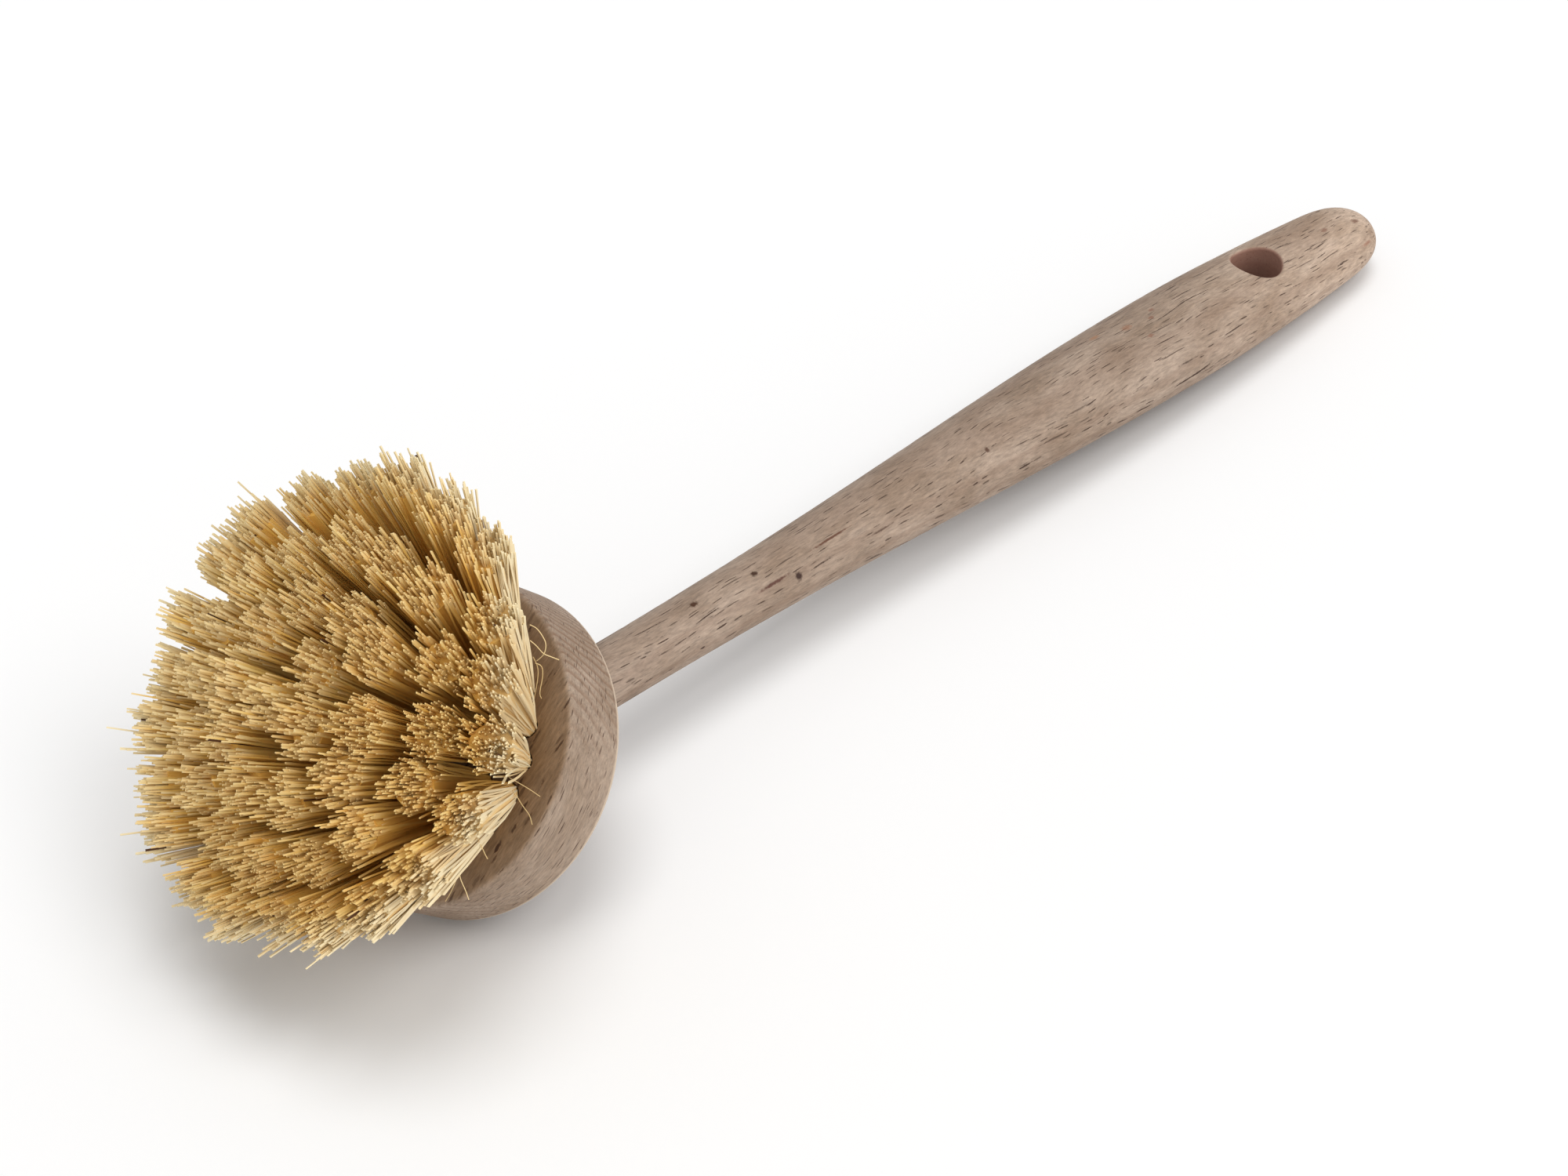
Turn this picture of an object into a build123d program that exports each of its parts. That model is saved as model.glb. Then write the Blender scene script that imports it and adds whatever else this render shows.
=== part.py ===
from build123d import *
import os
from math import asin, ceil, cos, degrees, pi, radians, sin, sqrt, tan

os.makedirs("parts", exist_ok=True)

# Dish brush: a turned head with glued-in handle and four rings of bristle tufts.
# Lengths are in millimetres, angles in degrees.
# The brush lies on its back, as on a draining board: the dome of the head and the
# end of the handle touch the surface at z = 0, and the handle points towards +X.

# Head
head_diameter = 50
rim_height = 12
dome_height = 13
face_edge_round = 0.8
back_edge_round = 0.5

# Handle, from the point where its axis crosses the head's axis
handle_length = 211.5
head_angle = 45
neck_diameter = 10.1
grip_width = 20.6
grip_thickness = 14.2
grip_to_end = 51.5
toe_width = 14.1
toe_thickness = 11.3
toe_rounding = 14.5
handle_sag = 0.5
station_pitch = 9
socket_clearance = 0.05
socket_floor_gap = 0.2
socket_web = 2.5
neck_collar = 3

# Hanging hole near the end of the handle
hanging_hole_diameter = 9.2
hanging_hole_to_end = 32.2
hanging_hole_edge_break = 0.5

# Rings of tuft holes in the face of the head, from the outer one inwards: how many
# holes, how far out, and the least wood between two holes at their bottoms
ring_counts = (22, 16, 10, 3)
ring_shares = (1.00, 0.72, 0.44, 0.16)
tuft_rim_margin = 7.6
tuft_hole_depth = 5.8
tuft_hole_web = 0.5
bundle_clearance = 0.05

# Bristle tufts, each a folded bundle that fans out above the face; all lean to one side
fibre_length = 27.1
outer_splay = 32
lean_to_side = 6.5
lean_from_handle = 2.4
first_tuft_share = 0.75
strands_around = 7
strand_root_share = 0.43
strand_tip_share = 0.3
tip_gap = 0.7
strand_seat = 0.5
neck_rise = 0.3

# Flat wire anchor that holds each tuft in its hole
anchor_height = 1.6
anchor_thickness = 0.35
anchor_floor_gap = 0.8
anchor_clearance = 0.05

# One overrun for every cut that passes through a surface
cut_overrun = 2

head_radius = head_diameter / 2
neck_radius = neck_diameter / 2
socket_radius = neck_radius + socket_clearance

# The dome is a cap of a sphere whose centre lies on the head's axis
dome_radius = (head_radius**2 + dome_height**2) / (2 * dome_height)
dome_centre_ahead = dome_radius - dome_height

# Points of the middle plane are (along the handle, square to it), from the crossing
bristle_way = (-cos(radians(head_angle)), sin(radians(head_angle)))
face_way = (sin(radians(head_angle)), cos(radians(head_angle)))
dome_centre = (dome_centre_ahead * bristle_way[0], dome_centre_ahead * bristle_way[1])

# The socket starts far enough behind the tuft holes, and its wall ends at the dome
socket_start = (tuft_hole_depth + socket_web - rim_height
                + socket_radius * sin(radians(head_angle))) / cos(radians(head_angle))
socket_exit = dome_centre[0] + sqrt(dome_radius**2 - (dome_centre[1] - socket_radius) ** 2)
neck_start = socket_exit + neck_collar

# Shapes of the handle's curves: a higher number keeps the neck slim for longer
width_swell = 2.5
thickness_swell = 1.8
toe_taper = 1.7
sag_onset = 10
toe_fullness = 3.8
toe_roundness = 2.1
toe_stations = 8
toe_flat_share = 0.9975
grip_at = handle_length - grip_to_end


def between(start, end, share):
    """A value part of the way from start to end."""
    return start + share * (end - start)


def handle_section(along, closing):
    """Distance along the handle, half width, half thickness and drop at one station."""
    if along < grip_at:
        rise = sin(pi / 2 * (along - neck_start) / (grip_at - neck_start))
        width = between(neck_diameter, grip_width, rise**width_swell)
        thickness = between(neck_diameter, grip_thickness, rise**thickness_swell)
    else:
        fall = ((along - grip_at) / grip_to_end) ** toe_taper
        width = between(grip_width, toe_width, fall)
        thickness = between(grip_thickness, toe_thickness, fall)
    sag_share = sin(pi / 2 * (along - neck_start) / (handle_length - neck_start)) ** sag_onset
    return along, closing * width / 2, closing * thickness / 2, sag_share * handle_sag


# Even stations along the handle, then closer ones where its toe rounds off
toe_start = handle_length - toe_rounding
even_stations = ceil((toe_start - neck_start) / station_pitch)
stations = []
for i in range(even_stations + 1):
    stations.append(handle_section(between(neck_start, toe_start, i / even_stations), 1))
for i in range(1, toe_stations + 1):
    reach = min(sin(pi / 2 * i / toe_stations), toe_flat_share)
    closing = (1 - reach**toe_fullness) ** (1 / toe_roundness)
    stations.append(handle_section(between(toe_start, handle_length, reach), closing))


def head_depth(tilt):
    """How far the head reaches below the crossing when the handle dips by this tilt."""
    down = (sin(tilt), -cos(tilt))
    dome_points = []
    edge_angle = asin(head_radius / dome_radius)
    for i in range(-90, 91):
        turn = edge_angle * i / 90
        outward = (
            -bristle_way[0] * cos(turn) - face_way[0] * sin(turn),
            -bristle_way[1] * cos(turn) - face_way[1] * sin(turn),
        )
        x = dome_centre[0] + dome_radius * outward[0]
        z = dome_centre[1] + dome_radius * outward[1]
        dome_points.append(x * down[0] + z * down[1])
    return max(dome_points)


def handle_depth(tilt):
    """How far the handle reaches below the crossing when it dips by this tilt."""
    return max(
        along * sin(tilt) + (half_thickness + drop) * cos(tilt)
        for along, _, half_thickness, drop in stations
    )


# The brush rests where head and handle reach equally far down
tilt_low = 0
tilt_high = radians(head_angle)
for _ in range(50):
    rest_tilt = (tilt_low + tilt_high) / 2
    if head_depth(rest_tilt) > handle_depth(rest_tilt):
        tilt_low = rest_tilt
    else:
        tilt_high = rest_tilt

handle_dir = Vector(cos(rest_tilt), 0, -sin(rest_tilt))
square_dir = Vector(sin(rest_tilt), 0, cos(rest_tilt))
bristle_dir = handle_dir * bristle_way[0] + square_dir * bristle_way[1]
face_dir = handle_dir * face_way[0] + square_dir * face_way[1]
side_dir = bristle_dir.cross(face_dir)

# The holes splay, so they come closer together towards their bottoms, and the
# closest two there set the size of all
outer_ring_radius = head_radius - tuft_rim_margin
rings = [(share * outer_ring_radius, count) for share, count in zip(ring_shares, ring_counts)]
spacings = [2 * radius * sin(pi / count) for radius, count in rings]
spacings += [outer[0] - inner[0] for outer, inner in zip(rings, rings[1:])]
closest = min(spacings)
closing_share = tuft_hole_depth * sin(radians(outer_splay)) / outer_ring_radius
tuft_hole_radius = (closest * (1 - closing_share) - tuft_hole_web) / 2
bundle_radius = tuft_hole_radius - bundle_clearance


def tuft_angle(ring, place):
    """Angle of a tuft in its ring; the outer ring is turned by a share of its spacing."""
    count = rings[ring][1]
    start = first_tuft_share if ring == 0 else 0
    return 2 * pi * (place + start) / count


def tuft_frame(ring, place):
    """Root of a tuft on the face, from the crossing, and its three directions."""
    radius = rings[ring][0]
    angle = tuft_angle(ring, place)
    outward = face_dir * cos(angle) + side_dir * sin(angle)
    splay = radians(outer_splay * radius / outer_ring_radius)
    lean = side_dir * sin(radians(lean_to_side)) - face_dir * sin(radians(lean_from_handle))
    axis = (outward * sin(splay) + bristle_dir * cos(splay) + lean).normalized()
    root = bristle_dir * rim_height + outward * radius
    flat = (outward - axis * outward.dot(axis)).normalized()
    return root, axis, flat


# Tips of neighbouring tufts leave a narrow gap
tip_scale = 1 + fibre_length * sin(radians(outer_splay)) / outer_ring_radius
tip_radius = (closest * tip_scale - tip_gap) / 2
strand_root_width = strand_root_share * bundle_radius
strand_tip_width = strand_tip_share * tip_radius
strand_root_circle = bundle_radius - strand_root_width / sqrt(2)
strand_tip_circle = tip_radius - strand_tip_width / sqrt(2)
neck_top = bundle_radius * tan(radians(outer_splay)) + neck_rise
strand_base = neck_top - strand_seat


def strand_places():
    """Place of each strand in its tuft: one in the middle and a circle round it."""
    places = [(0, 0)]
    for i in range(strands_around):
        turn = 2 * pi * i / strands_around
        places.append((cos(turn), sin(turn)))
    return places


# How far the brush reaches each way from the crossing puts it over the origin
tip_half = strand_tip_width / 2
reach_back = 0
reach_near = -head_radius
reach_far = head_radius
for ring, (_, count) in enumerate(rings):
    for place in range(count):
        root, axis, flat = tuft_frame(ring, place)
        across = axis.cross(flat)
        for u, v in strand_places():
            for du, dv in ((-1, -1), (-1, 1), (1, -1), (1, 1)):
                tip = (root + axis * fibre_length + flat * (u * strand_tip_circle + du * tip_half)
                       + across * (v * strand_tip_circle + dv * tip_half))
                reach_back = min(reach_back, tip.X)
                reach_near = min(reach_near, tip.Y)
                reach_far = max(reach_far, tip.Y)
reach_ahead = max(
    along * cos(rest_tilt) + (half_thickness - drop) * sin(rest_tilt)
    for along, _, half_thickness, drop in stations
)
crossing = Vector(
    -(reach_back + reach_ahead) / 2, -(reach_near + reach_far) / 2, head_depth(rest_tilt)
)
face_centre = crossing + bristle_dir * rim_height


def tuft_plane(ring, place, rise):
    """Plane square to a tuft, at a rise along it from its root on the face."""
    root, axis, flat = tuft_frame(ring, place)
    return Plane(origin=crossing + root + axis * rise, x_dir=flat, z_dir=axis)


def handle_plane(along, drop):
    """Plane square to the handle, with its x axis across the grip."""
    centre = crossing + handle_dir * along - square_dir * drop
    return Plane(origin=centre, x_dir=(0, 1, 0), z_dir=handle_dir)


tufts = [(ring, place) for ring, (_, count) in enumerate(rings) for place in range(count)]

# Head: turned about its own axis, then drilled for the tufts and for the handle
turning_plane = Plane(origin=face_centre, x_dir=face_dir, z_dir=face_dir.cross(bristle_dir))
with BuildPart() as head:
    with BuildSketch(turning_plane):
        with BuildLine():
            Polyline((0, 0), (head_radius, 0), (head_radius, -rim_height))
            back_arc = RadiusArc(
                (head_radius, -rim_height), (0, -rim_height - dome_height), dome_radius
            )
            Line(back_arc @ 1, (0, 0))
        make_face()
    revolve(axis=Axis(face_centre, bristle_dir))
    rim_edges = head.edges().filter_by(GeomType.CIRCLE).sort_by(Axis(face_centre, bristle_dir))
    face_edge = [edge for edge in rim_edges if abs(edge.radius - head_radius) < face_edge_round]
    fillet(face_edge[-1], face_edge_round)
    rim_edges = head.edges().filter_by(GeomType.CIRCLE).sort_by(Axis(face_centre, bristle_dir))
    back_edge = [edge for edge in rim_edges if abs(edge.radius - head_radius) < face_edge_round]
    fillet(back_edge[0], back_edge_round)
    with BuildSketch(*[tuft_plane(ring, place, cut_overrun) for ring, place in tufts]):
        Circle(tuft_hole_radius)
    extrude(amount=-(cut_overrun + tuft_hole_depth), mode=Mode.SUBTRACT)
    with BuildSketch(handle_plane(socket_start, 0)):
        Circle(socket_radius)
    extrude(amount=neck_start + cut_overrun - socket_start, mode=Mode.SUBTRACT)
head.part.label = "head"
export_step(head.part, "parts/head.step")

# Handle: a round tenon in the head's socket, then one smooth loft to the rounded end
tenon_start = socket_start + socket_floor_gap
with BuildPart() as handle:
    with BuildSketch(handle_plane(tenon_start, 0)):
        Circle(neck_radius)
    extrude(amount=neck_start - tenon_start)
    for along, half_width, half_thickness, drop in stations:
        with BuildSketch(handle_plane(along, drop)):
            if half_width > half_thickness:
                Ellipse(half_width, half_thickness)
            else:
                Circle(half_width)
    loft()
    hole_along = handle_length - hanging_hole_to_end
    hole_centre = crossing + handle_dir * hole_along - square_dir * handle_sag
    hole_top = hole_centre + square_dir * grip_thickness
    with BuildSketch(Plane(origin=hole_top, x_dir=handle_dir, z_dir=square_dir)):
        Circle(hanging_hole_diameter / 2)
    extrude(amount=-2 * grip_thickness, mode=Mode.SUBTRACT)
    hole_wall = handle.faces().filter_by(GeomType.CYLINDER).sort_by(Axis.X)[-1]
    hole_rims = hole_wall.edges().filter_by(GeomType.LINE, reverse=True)
    fillet(hole_rims, hanging_hole_edge_break)
handle.part.label = "handle"
export_step(handle.part, "parts/handle.step")

# Anchors: one flat wire in the bottom of every tuft hole
anchor_rise = anchor_floor_gap - tuft_hole_depth
anchor_width = 2 * (tuft_hole_radius - anchor_clearance)
with BuildPart() as tuft_anchors:
    with BuildSketch(*[tuft_plane(ring, place, anchor_rise) for ring, place in tufts]):
        Rectangle(anchor_thickness, anchor_width)
    extrude(amount=anchor_height)
tuft_anchors.part.label = "tuft_anchors"
export_step(tuft_anchors.part, "parts/tuft_anchors.step")

# A loose tuft stands on its root: a packed bundle slotted for its anchor, with a fan
# of strands above it
bundle_start = bundle_clearance - tuft_hole_depth
with BuildPart() as loose_tuft:
    with BuildSketch(Plane.XY.offset(bundle_start)):
        Circle(bundle_radius)
    extrude(amount=neck_top - bundle_start)
    with BuildSketch(Plane.XY.offset(anchor_rise - anchor_clearance)):
        Rectangle(anchor_thickness + 2 * anchor_clearance, 2 * tuft_hole_radius)
    extrude(amount=anchor_height + 2 * anchor_clearance, mode=Mode.SUBTRACT)
    strands = []
    for u, v in strand_places():
        with BuildSketch(Plane.XY.offset(strand_base), mode=Mode.PRIVATE) as low:
            with Locations((u * strand_root_circle, v * strand_root_circle)):
                Rectangle(strand_root_width, strand_root_width)
        with BuildSketch(Plane.XY.offset(fibre_length), mode=Mode.PRIVATE) as high:
            with Locations((u * strand_tip_circle, v * strand_tip_circle)):
                Rectangle(strand_tip_width, strand_tip_width)
        strands.append(loft([low.sketch, high.sketch], ruled=True, mode=Mode.PRIVATE))
    add(strands)

# Tufts: one in every hole of every ring
for ring, place in tufts:
    with BuildPart(tuft_plane(ring, place, 0)) as tuft:
        add(loose_tuft.part)
    name = f"tuft_ring{ring + 1}_{place + 1:02d}"
    tuft.part.label = name
    export_step(tuft.part, f"parts/{name}.step")

print("rings", [(round(radius, 2), count) for radius, count in rings])
print("tuft hole", round(2 * tuft_hole_radius, 2), "tuft tip", round(2 * tip_radius, 2))
print("tufts", len(tufts), "strands", len(tufts) * (strands_around + 1))
print("rest tilt", round(degrees(rest_tilt), 2), "crossing", crossing)
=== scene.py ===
import math
import random

import bpy
from mathutils import Matrix, Vector


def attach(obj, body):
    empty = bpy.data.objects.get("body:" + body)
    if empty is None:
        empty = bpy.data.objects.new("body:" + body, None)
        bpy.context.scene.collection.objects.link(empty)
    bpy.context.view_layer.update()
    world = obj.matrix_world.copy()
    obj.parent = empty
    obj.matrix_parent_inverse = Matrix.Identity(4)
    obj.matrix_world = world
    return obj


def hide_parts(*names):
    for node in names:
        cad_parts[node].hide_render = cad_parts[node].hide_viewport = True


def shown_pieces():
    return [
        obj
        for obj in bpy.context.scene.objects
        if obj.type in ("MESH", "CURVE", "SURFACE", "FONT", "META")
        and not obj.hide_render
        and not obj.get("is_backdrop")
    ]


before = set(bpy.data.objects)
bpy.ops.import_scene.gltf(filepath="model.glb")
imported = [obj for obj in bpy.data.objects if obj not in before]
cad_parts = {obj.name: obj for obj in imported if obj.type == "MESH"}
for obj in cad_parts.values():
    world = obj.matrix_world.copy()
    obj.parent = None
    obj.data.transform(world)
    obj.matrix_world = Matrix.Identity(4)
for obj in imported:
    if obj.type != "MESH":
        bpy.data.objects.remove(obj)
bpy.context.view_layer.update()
print("frame loaded, CAD pieces:", len(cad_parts))

mm = 0.001

# How the brush lies, in millimetres and degrees, from the point where the handle's axis
# crosses the head's axis. These follow the CAD model.
brush = {
    "crossing": (-81.5922, -2.0081, 17.4812),
    "restTilt": 3.1143,  # the handle dips towards its end
    "headAngle": 45.0,  # between the handle and the back of the head
    "rimHeight": 12.0,
    "holeAlong": 179.3,  # hanging hole, along the handle
    "holeRadius": 4.6,
}

tilt = math.radians(brush["restTilt"])
headTurn = math.radians(brush["headAngle"])
crossing = Vector(brush["crossing"]) * mm
handleDir = Vector((math.cos(tilt), 0.0, -math.sin(tilt)))
squareDir = Vector((math.sin(tilt), 0.0, math.cos(tilt)))
bristleDir = -math.cos(headTurn) * handleDir + math.sin(headTurn) * squareDir
faceDir = math.sin(headTurn) * handleDir + math.cos(headTurn) * squareDir
sideDir = bristleDir.cross(faceDir)


def linear(hexColour):
    # sRGB hex to the linear colour that the shaders use
    parts = [int(hexColour[i : i + 2], 16) / 255 for i in (1, 3, 5)]
    return (*[c / 12.92 if c <= 0.04045 else ((c + 0.055) / 1.055) ** 2.4 for c in parts], 1.0)


def addNode(tree, kind, inputs=None, **settings):
    # Adds one node. An input takes a value, a socket, a node (its first output in use), or
    # a list of them where it joins several. A tuple of inputs takes one value for each.
    node = tree.nodes.new(kind)
    for name, value in settings.items():
        setattr(node, name, value)
    pairs = []
    for key, given in (inputs or {}).items():
        if isinstance(key, tuple):
            pairs += zip(key, given)
        else:
            pairs += [(key, value) for value in (given if isinstance(given, list) else [given])]
    for key, value in pairs:
        if isinstance(value, bpy.types.Node):
            value = next(socket for socket in value.outputs if socket.enabled)
        if isinstance(value, bpy.types.NodeSocket):
            tree.links.new(value, node.inputs[key])
        else:
            node.inputs[key].default_value = value
    return node


def newMaterial(name):
    material = bpy.data.materials.new(name)
    material.use_nodes = True
    material.node_tree.nodes.clear()
    return material, material.node_tree


def dress(piece, material):
    piece.data.materials.clear()
    piece.data.materials.append(material)


# Beech, turned or shaped, then sanded and left raw: matt, a pinkish grey tan, with crisp
# dark ray flecks along the grain and faint growth rings. Patterns are in millimetres:
# along the grain, across it, and through the board. This is what both pieces share.
beech = {
    "roughness": 0.68,
    "ior": 1.45,
    "specular": 0.35,
    "wanderScale": 0.07,  # scales are per millimetre
    "wanderStretch": 0.5,  # below 1 a pattern is longer along the grain
    "wanderReach": 4.0,
    "cloudScale": 0.16,
    "cloudStretch": 0.4,
    "cloudEdges": (0.36, 0.64),
    "poreScale": 2.6,
    "poreStretch": 0.2,
    "poreTone": (0.7, 1.22),
    "noiseSpan": (0.3, 0.7),  # most of a noise lies between these
    "ringRise": (0.35, 0.85),  # shares of a ring's width
    "ringFall": (0.88, 1.0),
    "endGrain": (0.45, 0.9),  # how square to the grain a face is where rings begin to show
    "raggedScale": 2.2,
    "raggedReach": 0.2,
    "fleckEdge": (0.75, 1.2),
    "markEdge": (0.5, 1.1),
    "poreBump": (0.3, 0.05),  # strength and depth
    "fleckBump": (0.4, 0.08),
}
handleWood = {
    "grain": handleDir,
    "across": Vector((0, 1, 0)),
    "paleWood": "#A69281",
    "greyWood": "#8D7866",
    "toneAndLightFrom": (150.0, 0.96),  # how bright the board is, by the place along it; on the handle this is painted light, brighter towards its end
    "toneAndLightTo": (206.0, 1.36),
    "ringBrown": "#745A48",
    "fleckBrown": "#3D2A1F",
    "ringGap": 3.4,
    "ringDepth": 0.3,
    "ringOnSides": 0.9,  # how much of the rings shows away from the end grain
    "flecks": (
        {"cell": (3.6, 0.75, 0.8), "half": (1.3, 0.085, 0.16), "share": 0.92, "depth": (0.5, 1.0)},
        {"cell": (8.0, 1.7, 1.5), "half": (3.3, 0.1, 0.2), "share": 0.7, "depth": (0.6, 1.0)},
    ),
    "holeWall": "#865E50",  # the hanging hole's wall is browner
    "holeWallReach": (0.05, 0.4),
    "holeWallShare": 0.85,
}
headWood = {
    "grain": faceDir,
    "across": sideDir + 2.3 * bristleDir,
    "paleWood": "#C2AB96",
    "greyWood": "#AA917A",
    "toneAndLightFrom": (0.0, 0.67),  # the same all over, an even tone with no painted light
    "toneAndLightTo": (1.0, 0.67),
    "ringBrown": "#7C604B",
    "fleckBrown": "#4E382B",
    "ringGap": 1.3,
    "ringDepth": 0.85,
    "ringOnSides": 0.12,
    "flecks": (
        {"cell": (3.0, 1.0, 1.3), "half": (1.15, 0.1, 0.45), "share": 0.9, "depth": (0.45, 1.0)},
    ),
    "faceShadeBrown": "#D8C4A2",  # painted shade: the face between the tufts is darker and browner, as in the bristles' shade and their warm bounce
    "faceShadeDepth": (0.3, 0.05),  # below the face
    "faceShadeUntil": (19.0, 25.0),  # from the head's axis
    "faceShadeLeast": 0.35,
    "edgeHighlight": "#CDBAA4",  # painted highlight: a paler line on the back edge of the rim, where its rounded edge catches the light
    "edgeHighlightWidth": (0.15, 0.55),
    "edgeHighlightShare": 0.8,
}

# What this one handle has: pin knots, red streaks and a few rusty spots. Each has its place
# from the crossing, its half size, its colour and how strong it is.
handleMarks = (
    ((41.9, -1.0, 5.1), (0.8, 0.6, 1.5), "#40240F", 1.0),
    ((53.8, -1.9, 5.0), (0.7, 0.5, 1.5), "#38200F", 1.0),
    ((60.6, -5.0, 2.6), (0.75, 0.8, 1.0), "#331D14", 1.0),
    ((103.7, -4.8, 5.2), (0.5, 0.5, 1.2), "#4A2E20", 0.9),
    ((56.1, -4.3, 3.4), (3.7, 0.22, 0.6), "#4E2A20", 0.9),
    ((69.1, -3.4, 4.7), (4.6, 0.2, 0.6), "#55301F", 0.9),
    ((77.0, -5.8, 2.8), (4.4, 0.18, 0.25), "#4A3226", 0.8),
    ((139.2, 3.5, 6.5), (1.3, 0.5, 1.2), "#9A6B48", 0.6),
    ((145.3, 1.4, 6.9), (1.3, 0.8, 1.2), "#8B5E42", 0.6),
    ((152.7, 2.2, 6.8), (0.8, 0.5, 1.2), "#7A5240", 0.7),
    ((150.7, 0.5, 6.9), (0.7, 0.5, 1.2), "#7A5240", 0.7),
    ((146.9, -2.8, 6.7), (0.9, 0.4, 1.2), "#7A5240", 0.7),
    ((197.0, -1.5, 5.7), (1.0, 0.5, 1.0), "#7A5646", 0.7),
    ((204.8, -2.6, 4.8), (1.1, 0.6, 1.0), "#6B4A3A", 0.8),
    ((203.5, -6.6, 2.2), (3.2, 0.4, 0.4), "#8A5A45", 0.6),
)


def raggedSpot(tree, away, shrink, raggedBy, edge, depth):
    # Full in the middle of a fleck or mark, and fading out at its ragged edge
    spindle = addNode(tree, "ShaderNodeVectorMath", {0: away, 1: shrink}, operation="MULTIPLY")
    outBy = addNode(tree, "ShaderNodeVectorMath", {0: spindle}, operation="LENGTH")
    uneven = addNode(tree, "ShaderNodeMath", {0: outBy, 1: raggedBy}, operation="ADD")
    return addNode(tree, "ShaderNodeMapRange", {0: uneven, (1, 2): edge, 3: depth, 4: 0.0})


def makeBeech(name, look, marks=()):
    material, tree = newMaterial(name)
    grain = look["grain"].normalized()
    across = (look["across"] - grain * grain.dot(look["across"])).normalized()
    through = grain.cross(across)
    place = addNode(tree, "ShaderNodeTexCoord")
    fromCrossing = addNode(
        tree,
        "ShaderNodeVectorMath",
        {0: place.outputs["Object"], 1: crossing},
        operation="SUBTRACT",
    )
    wood = addNode(
        tree,
        "ShaderNodeMapping",
        {
            "Vector": fromCrossing,
            "Rotation": Matrix((grain, across, through)).to_euler("XYZ"),
            "Scale": (1 / mm, 1 / mm, 1 / mm),
        },
    )

    # The grain wanders slowly, so no line is quite straight
    wanderBy = beech["wanderReach"]
    slow = addNode(
        tree,
        "ShaderNodeVectorMath",
        {0: wood, 1: (beech["wanderStretch"], 1.0, 1.0)},
        operation="MULTIPLY",
    )
    wander = addNode(
        tree, "ShaderNodeTexNoise", {"Vector": slow, "Scale": beech["wanderScale"], "Detail": 2.0}
    )
    offset = addNode(
        tree,
        "ShaderNodeVectorMath",
        {
            0: wander.outputs["Color"],
            1: (0.0, wanderBy, wanderBy),
            2: (0.0, -wanderBy / 2, -wanderBy / 2),
        },
        operation="MULTIPLY_ADD",
    )
    fibrePlace = addNode(tree, "ShaderNodeVectorMath", {0: wood, 1: offset}, operation="ADD")

    # Cloudy change between paler and greyer wood, 4 to 15 mm across
    cloudPlace = addNode(
        tree,
        "ShaderNodeVectorMath",
        {0: fibrePlace, 1: (beech["cloudStretch"], 1.0, 1.0)},
        operation="MULTIPLY",
    )
    cloud = addNode(
        tree,
        "ShaderNodeTexNoise",
        {"Vector": cloudPlace, "Scale": beech["cloudScale"], "Detail": 4.0, "Roughness": 0.6},
    )
    cloudShare = addNode(tree, "ShaderNodeMapRange", {0: cloud, (1, 2): beech["cloudEdges"]})
    base = addNode(
        tree,
        "ShaderNodeMix",
        {0: cloudShare, 6: linear(look["greyWood"]), 7: linear(look["paleWood"])},
        data_type="RGBA",
    )

    # Pores and sanded fibre ends, about 0.25 mm wide
    porePlace = addNode(
        tree,
        "ShaderNodeVectorMath",
        {0: fibrePlace, 1: (beech["poreStretch"], 1.0, 1.0)},
        operation="MULTIPLY",
    )
    pores = addNode(
        tree,
        "ShaderNodeTexNoise",
        {"Vector": porePlace, "Scale": beech["poreScale"], "Detail": 3.0, "Roughness": 0.7},
    )
    poreTone = addNode(
        tree,
        "ShaderNodeMapRange",
        {0: pores, (1, 2): beech["noiseSpan"], (3, 4): beech["poreTone"]},
    )
    # The board's tone by its place along the grain; on the handle it is painted light, brighter
    # towards the end
    boardPlace = addNode(tree, "ShaderNodeSeparateXYZ", {0: wood})
    toneAndPaintedLight = addNode(
        tree,
        "ShaderNodeMapRange",
        {0: boardPlace.outputs[0], (1, 3): look["toneAndLightFrom"], (2, 4): look["toneAndLightTo"]},
    )
    tone = addNode(tree, "ShaderNodeMath", {0: poreTone, 1: toneAndPaintedLight}, operation="MULTIPLY")
    pored = addNode(tree, "ShaderNodeVectorMath", {0: base, "Scale": tone}, operation="SCALE")

    # Growth rings: each grows browner, then stops at a line. They show best on end grain.
    facing = addNode(
        tree,
        "ShaderNodeVectorMath",
        {0: place.outputs["Normal"], 1: tuple(grain)},
        operation="DOT_PRODUCT",
    )
    turned = addNode(tree, "ShaderNodeMath", {0: facing}, operation="ABSOLUTE")
    endGrain = addNode(
        tree,
        "ShaderNodeMapRange",
        {
            0: turned,
            (1, 2): beech["endGrain"],
            3: look["ringDepth"] * look["ringOnSides"],
            4: look["ringDepth"],
        },
    )
    depthAxis = addNode(tree, "ShaderNodeSeparateXYZ", {0: fibrePlace})
    ringCount = addNode(
        tree, "ShaderNodeMath", {0: depthAxis.outputs[2], 1: look["ringGap"]}, operation="DIVIDE"
    )
    ringShare = addNode(tree, "ShaderNodeMath", {0: ringCount}, operation="FRACT")
    ringRise = addNode(
        tree,
        "ShaderNodeMapRange",
        {0: ringShare, (1, 2): beech["ringRise"]},
        interpolation_type="SMOOTHSTEP",
    )
    ringFall = addNode(
        tree, "ShaderNodeMapRange", {0: ringShare, (1, 2): beech["ringFall"], 3: 1.0, 4: 0.0}
    )
    ringLine = addNode(tree, "ShaderNodeMath", {0: ringRise, 1: ringFall}, operation="MULTIPLY")
    ringMask = addNode(tree, "ShaderNodeMath", {0: ringLine, 1: endGrain}, operation="MULTIPLY")
    layers = [(ringMask, look["ringBrown"], "MIX")]  # each lies over the ones before it

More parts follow.
